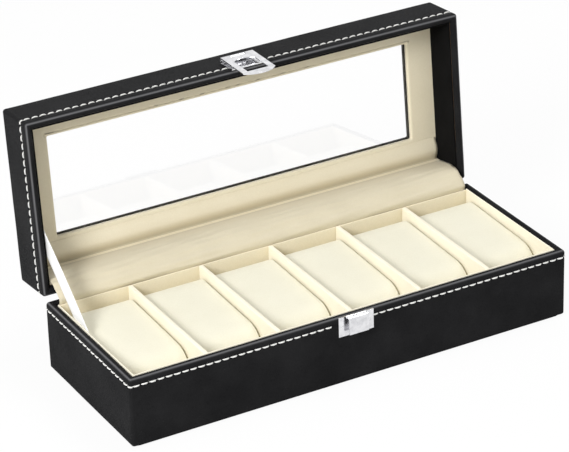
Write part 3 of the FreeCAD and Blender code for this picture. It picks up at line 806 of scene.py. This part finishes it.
def pillowGrid(low, high):
    # the side outline carried across, shrunk towards its middle over both ends
    front, back = low[1], high[1]
    bottom, top = low[2], high[2]
    outline = roundedOutline(
        [(front, bottom), (back, bottom), (back, top), (front, top - pillow["fall"])],
        [pillow["footRadius"], pillow["footRadius"], pillow["backRadius"], pillow["frontRadius"]],
        pillow["step"])
    middle = outline.mean(axis=0)
    reach = np.linalg.norm(outline - middle, axis=1).mean()
    turn = np.radians(np.linspace(0, 90, 4))
    edge = pillow["seamEdge"]
    length = high[0] - low[0]
    count = round((length - 2 * edge) / pillow["step"])
    endShare = np.linspace(pillow["endFrom"], pillow["endTo"], pillow["endRings"])
    seamShare = 1 - edge * (1 - np.sin(turn)) / reach
    seamShare = np.concatenate([[1 - pillow["seamHold"] / reach], seamShare, [1.0]])
    endShare = endShare * seamShare[0]
    share = np.concatenate([endShare, seamShare, np.ones(count), seamShare[::-1], endShare[::-1]])
    seamX = np.concatenate([[0.0], edge * (1 - np.cos(turn)), [pillow["seamHold"]]])
    x = np.concatenate([
        np.zeros(len(endShare)), seamX, np.linspace(seamX[-1], length - seamX[-1], count + 2)[1:-1],
        length - seamX[::-1], np.full(len(endShare), length)]) + low[0]
    yz = middle + share[:, None, None] * (outline - middle)
    return np.concatenate([np.broadcast_to(x[:, None, None], yz.shape[:2] + (1,)), yz], axis=-1)


def swell(piece, pinned):
    # air pressure fills the cover while its seams and foot are held, each point moving no more than the cap
    mesh = piece.data
    rest = np.empty(len(mesh.vertices) * 3, np.float32)
    mesh.vertices.foreach_get("co", rest)
    group = piece.vertex_groups.new(name="held")
    group.add(pinned.tolist(), 1.0, "REPLACE")
    cloth = piece.modifiers.new("stuffing", "CLOTH")
    cloth.settings.use_pressure = True
    cloth.settings.uniform_pressure_force = pillow["pressure"]
    cloth.settings.effector_weights.gravity = 0.0
    cloth.settings.vertex_group_mass = "held"
    cloth.settings.mass = pillow["mass"]
    cloth.point_cache.frame_end = pillow["frames"]
    for number in range(1, pillow["frames"] + 1):
        scene.frame_set(number)
    shaped = piece.evaluated_get(bpy.context.evaluated_depsgraph_get()).to_mesh()
    moved = np.empty(len(mesh.vertices) * 3, np.float32)
    shaped.vertices.foreach_get("co", moved)
    piece.modifiers.remove(cloth)
    scene.frame_set(1)
    step = (moved - rest).reshape(-1, 3)
    size = np.linalg.norm(step, axis=1, keepdims=True)
    step *= np.minimum(1, pillow["cap"] / np.maximum(size, tiny))
    mesh.vertices.foreach_set("co", (rest + step.ravel()).astype(np.float32))
    mesh.update()
    return float(size.max())


def makePillow(number):
    name = "pillow_%d" % number
    low, high = boxOf(nodePoints(name))
    low[0] += pillow["endInset"]
    high -= np.array([pillow["endInset"], 0, pillow["startSmaller"]])
    grid = pillowGrid(low, high)
    piece = makePiece("pillow%d" % number, grid, creamVelvet, wrapColumns=True, caps=True)
    flat = grid.reshape(-1, 3)
    atSeam = np.minimum(flat[:, 0] - low[0], high[0] - flat[:, 0]) < pillow["holdReach"] * pillow["seamHold"]
    held = np.flatnonzero(atSeam | (flat[:, 2] < low[2] + pillow["footHold"]))
    print("pillow", number, "moved", round(swell(piece, held) / mm, 2), "mm")
    smooth = piece.modifiers.new("smooth", "SUBSURF")
    smooth.levels = 1
    smooth.render_levels = 1
    place(piece, name, "cream_velvet", name)


for pillowNumber in range(1, 7):
    makePillow(pillowNumber)
print("pillows")

# Cloth across the hinge

strip = {
    "knots": [
        (49.7, 22.0), (49.7, 34.0), (49.7, 43.4), (49.2, 45.4), (48.8, 47.0), (49.8, 49.4), (53.4, 52.1),
        (57.5, 54.7), (62.5, 55.7), (72.0, 54.9), (78.0, 53.5), (81.6, 52.5), (83.1, 53.1), (82.85, 55.0),
        (82.0, 57.4), (81.6, 59.9), (82.4, 63.0), (83.8, 66.0), (84.55, 68.0)],
    "thickness": 0.5 * mm, "sideGap": 0.5 * mm, "rows": 130, "columns": 150, "taper": 9 * mm,
    "thinnest": 0.2,
    "looseAt": 0.44, "looseWidth": 0.17, "wrinkle": 0.8 * mm, "crinkle": 0.35 * mm, "swellShare": 0.6,
    "creaseLength": 11 * mm, "creaseStretch": (0.25, 1.6), "creaseSeed": 31,
    "swellLength": 26 * mm, "swellSeed": 32,
    "crinkleLength": 5 * mm, "crinkleStretch": (0.12, 1.5), "crinkleSeed": 33,
    # a darker tone up to the fold, and painted shade in the fold itself
    "fold": 0.79, "foldWidth": 0.055, "worn": 0.45, "crushed": 1.0,
    "baseEnd": (0, 0.0495, 0.0455), "lidEnd": (0, 0.0605, 0.0555),
}
ribbon = {
    "thickness": 0.5 * mm, "wider": 2 * mm, "forward": 6 * mm, "rows": 40, "columns": 10, "sway": 0.35 * mm,
    "anchor": 0.45,
}


def pathNormals(path):
    along = np.gradient(path, axis=0)
    along /= np.linalg.norm(along, axis=1, keepdims=True)
    return np.stack([-along[:, 1], along[:, 0]], axis=-1)


def stripLift(x, along, length):
    # long creases, slower swells and fine crinkles, added up and strongest where the cloth crosses the gap
    loose = np.exp(-((along - strip["looseAt"] * length) / (strip["looseWidth"] * length)) ** 2)[:, None]
    x = x[None]
    along = along[:, None]
    aside, ahead = strip["creaseStretch"]
    crease = waves(x * aside, along * ahead, strip["creaseLength"], strip["creaseSeed"])
    crease = crease + strip["swellShare"] * waves(x, along, strip["swellLength"], strip["swellSeed"])
    aside, ahead = strip["crinkleStretch"]
    fine = waves(x * aside, along * ahead, strip["crinkleLength"], strip["crinkleSeed"])
    return loose * (strip["wrinkle"] * crease + strip["crinkle"] * fine)


def stripDarkening(share):
    # a darker tone up to the fold against the lid's board, painted shade in the fold, and the plain colour above
    # it
    inFold = np.exp(-((share - strip["fold"]) / strip["foldWidth"]) ** 2)
    below = strip["worn"] + (strip["crushed"] - strip["worn"]) * inFold
    return np.where(share < strip["fold"], below, strip["crushed"] * inFold)


def makeHingeStrip():
    # the side profile carried along the box, lifted into creases, with half its thickness to each side
    reach = boxOf(nodePoints("tray_back_liner"))[1][0] - strip["sideGap"]
    path = smoothPath(np.array(strip["knots"]) * mm, strip["rows"])
    normal = pathNormals(path)[:, None]
    x = np.linspace(-reach, reach, strip["columns"])
    length = np.linalg.norm(np.diff(path, axis=0), axis=1).sum()
    along = np.linspace(0, length, strip["rows"])
    lift = stripLift(x, along, length)
    thinning = np.clip((length - along) / strip["taper"], strip["thinnest"], 1)
    half = (strip["thickness"] / 2 * thinning)[:, None]
    outer = path[:, None] + normal * (lift + half)[..., None]
    inner = path[:, None] + normal * (lift - half)[..., None]
    loop = np.vstack([outer, inner[::-1]])
    points = np.concatenate([np.broadcast_to(x[None, :, None], loop.shape[:2] + (1,)), loop], axis=-1)
    # painted shade in the fold, and a darker tone below it
    rub = stripDarkening(along / length)
    rub = np.concatenate([rub, rub[::-1]])
    points = np.swapaxes(points, 0, 1)
    piece = makePiece("hingeStrip", points, beigeVelvet, wrapColumns=True, caps=True, rub=rub)
    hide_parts("hinge_lining")
    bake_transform(piece)
    print("hinge strip", round(2 * reach / mm, 1), "x", round(length / mm, 1), "mm flat")


def makeRibbon():
    # a flat band between its two anchors: along, across and leaning forward at the foot, with a slight bow
    corners = nodePoints("ribbon_stay")
    middle = corners.mean(axis=0)
    centred = (corners - middle)[:, 1:]
    axes = np.linalg.svd(centred, full_matrices=False)[2]
    along = axes[0] * np.sign(axes[0][1])
    across = np.array([-along[1], along[0]])
    length = round(float(np.ptp(centred @ along)), 5)
    width = round(float(np.ptp(centred @ across)), 5) + ribbon["wider"]
    t = np.linspace(-0.5, 0.5, ribbon["rows"])
    s = np.linspace(-0.5, 0.5, ribbon["columns"])
    s = np.concatenate([s, s[::-1]])
    side = np.repeat([1.0, -1.0], ribbon["columns"]) * ribbon["thickness"] / 2
    lean = np.array([-ribbon["forward"], 0.0])
    yz = middle[1:] + (t * length)[:, None, None] * along + (s * width)[None, :, None] * across
    yz = yz + (0.5 - t)[:, None, None] * lean
    bow = ribbon["sway"] * np.sin(math.pi * (t + 0.5)) * np.cos(2.2 * t)
    x = middle[0] + bow[:, None] + side[None]
    points = np.concatenate([x[..., None], yz], axis=-1)
    uv = np.stack(np.broadcast_arrays(s[None] * width, t[:, None] * length), axis=-1)
    piece = makePiece("ribbonStay", points, whiteRibbon, wrapColumns=True, caps=True, uv=uv)
    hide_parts("ribbon_stay")
    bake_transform(piece)
    print("ribbon", round(width / mm, 2), "x", round(length / mm, 1), "mm flat")


makeHingeStrip()
makeRibbon()
print("hinge strip and ribbon")

# Clasp and hinges

metal = {
    "joinWithin": 0.001 * mm, "flatWithin": math.radians(1), "sharpFrom": math.radians(32), "segments": 2,
}
metalwork = {
    "catch_plate": ("base", "nickel", 0.16 * mm), "latch_plate": ("lid", "nickel", 0.14 * mm),
    "latch_flap": ("latch_flap", "nickel", 0.18 * mm), "latch_pin": ("lid", "nickel", 0.12 * mm),
}
hingeParts = {
    "hinge_base_leaf": ("base", "plated_steel", 0.14 * mm),
    "hinge_lid_leaf": ("lid", "plated_steel", 0.14 * mm),
    "hinge_pin": ("base", "plated_steel", 0.12 * mm),
}
for partName, partLook in hingeParts.items():
    metalwork[partName + "_left"] = partLook
    metalwork[partName + "_right"] = partLook


def makeMetal(node, body, slot, edge):
    # a joined-up copy of the part with its sharp edges eased
    mesh = frame["nodes"][node].data.copy()
    work = bmesh.new()
    work.from_mesh(mesh)
    bmesh.ops.remove_doubles(work, verts=work.verts, dist=metal["joinWithin"])
    bmesh.ops.dissolve_limit(work, angle_limit=metal["flatWithin"], verts=work.verts, edges=work.edges)
    work.to_mesh(mesh)
    work.free()
    name = "".join(part.capitalize() for part in node.split("_"))
    piece = bpy.data.objects.new(name[0].lower() + name[1:], mesh)
    scene.collection.objects.link(piece)
    mesh.shade_smooth()
    mesh.set_sharp_from_angle(angle=metal["sharpFrom"])
    bevel = piece.modifiers.new("eased", "BEVEL")
    bevel.width = edge
    bevel.segments = metal["segments"]
    bevel.limit_method = "ANGLE"
    bevel.angle_limit = metal["sharpFrom"]
    bevel.harden_normals = True
    place(piece, body, slot, node)


for nodeName, (bodyName, slotName, edgeSize) in metalwork.items():
    makeMetal(nodeName, bodyName, slotName, edgeSize)
print("metalwork:", len(metalwork))

# Camera, floor and light

view = {
    "place": (-0.77472, -1.39155, 0.89509), "aim": (-0.01538, 0.0, 0.08358), "roll": -1.795, "lens": 188.36,
    "sensor": 36.0, "farthest": 50.0,
}
studio = {
    "floorSize": 9.0, "floorWhite": 0.93, "floorColour": linear(244, 244, 244), "world": 0.5,
    "lampAim": Vector((0, 0, 0.05)),
}


def makeCamera():
    data = bpy.data.cameras.new("camera")
    data.lens = view["lens"]
    data.sensor_width = view["sensor"]
    data.sensor_fit = "HORIZONTAL"
    data.clip_end = view["farthest"]
    camera = bpy.data.objects.new("camera", data)
    scene.collection.objects.link(camera)
    look = (Vector(view["aim"]) - Vector(view["place"])).to_track_quat("-Z", "Y")
    camera.rotation_mode = "QUATERNION"
    camera.rotation_quaternion = look @ Quaternion((0, 0, 1), math.radians(view["roll"]))
    camera.location = view["place"]
    scene.camera = camera


def seenDirectly(tree, mirrors=False):
    # 1 for rays from the camera and through glass, and from mirrors where asked, 0 for rays that carry light
    path = addNode(tree, "ShaderNodeLightPath")
    seen = combine(tree, "MAXIMUM", path.outputs["Is Camera Ray"], path.outputs["Is Transmission Ray"])
    return combine(tree, "MAXIMUM", seen, path.outputs["Is Glossy Ray"]) if mirrors else seen


def makeFloor():
    half = studio["floorSize"] / 2
    grid = np.array([[[-half, -half, 0], [half, -half, 0]], [[-half, half, 0], [half, half, 0]]])
    material = bpy.data.materials.new("paleFloor")
    material.use_nodes = True
    tree = material.node_tree
    tree.nodes.clear()
    paper = addNode(tree, "ShaderNodeBsdfDiffuse", {"Color": studio["floorColour"]})
    glow = addNode(tree, "ShaderNodeEmission", {"Color": (1, 1, 1, 1), "Strength": 1.0})
    mix = addNode(tree, "ShaderNodeMixShader")
    result = addNode(tree, "ShaderNodeOutputMaterial")
    tree.links.new(combine(tree, "MULTIPLY", seenDirectly(tree), studio["floorWhite"]), mix.inputs[0])
    tree.links.new(paper.outputs[0], mix.inputs[1])
    tree.links.new(glow.outputs[0], mix.inputs[2])
    tree.links.new(mix.outputs[0], result.inputs[0])
    makePiece("floor", grid, material)


def makeWorld():
    world = bpy.data.worlds.new("studio")
    scene.world = world
    world.use_nodes = True
    tree = world.node_tree
    tree.nodes.clear()
    dome = addNode(tree, "ShaderNodeBackground", {"Color": (1, 1, 1, 1), "Strength": studio["world"]})
    seen = addNode(tree, "ShaderNodeBackground", {"Color": (1, 1, 1, 1), "Strength": 1.0})
    mix = addNode(tree, "ShaderNodeMixShader")
    result = addNode(tree, "ShaderNodeOutputWorld")
    tree.links.new(seenDirectly(tree, mirrors=True), mix.inputs[0])
    tree.links.new(dome.outputs[0], mix.inputs[1])
    tree.links.new(seen.outputs[0], mix.inputs[2])
    tree.links.new(mix.outputs[0], result.inputs[0])


lamps = {
    "key": {"place": (-1.4, -0.75, 1.05), "size": 0.6, "power": 25.0},
    "top": {"place": (0.85, 0.0, 1.75), "size": 0.7, "power": 11.0},
}


def makeLamps():
    for name, lamp in lamps.items():
        data = bpy.data.lights.new(name, "AREA")
        data.size = lamp["size"]
        data.energy = lamp["power"]
        light = bpy.data.objects.new(name, data)
        scene.collection.objects.link(light)
        light.location = lamp["place"]
        light.rotation_mode = "QUATERNION"
        towards = studio["lampAim"] - Vector(lamp["place"])
        light.rotation_quaternion = towards.to_track_quat("-Z", "Y")


makeCamera()
makeFloor()
makeWorld()
makeLamps()
scene.view_settings.view_transform = "Standard"
print("camera and light")
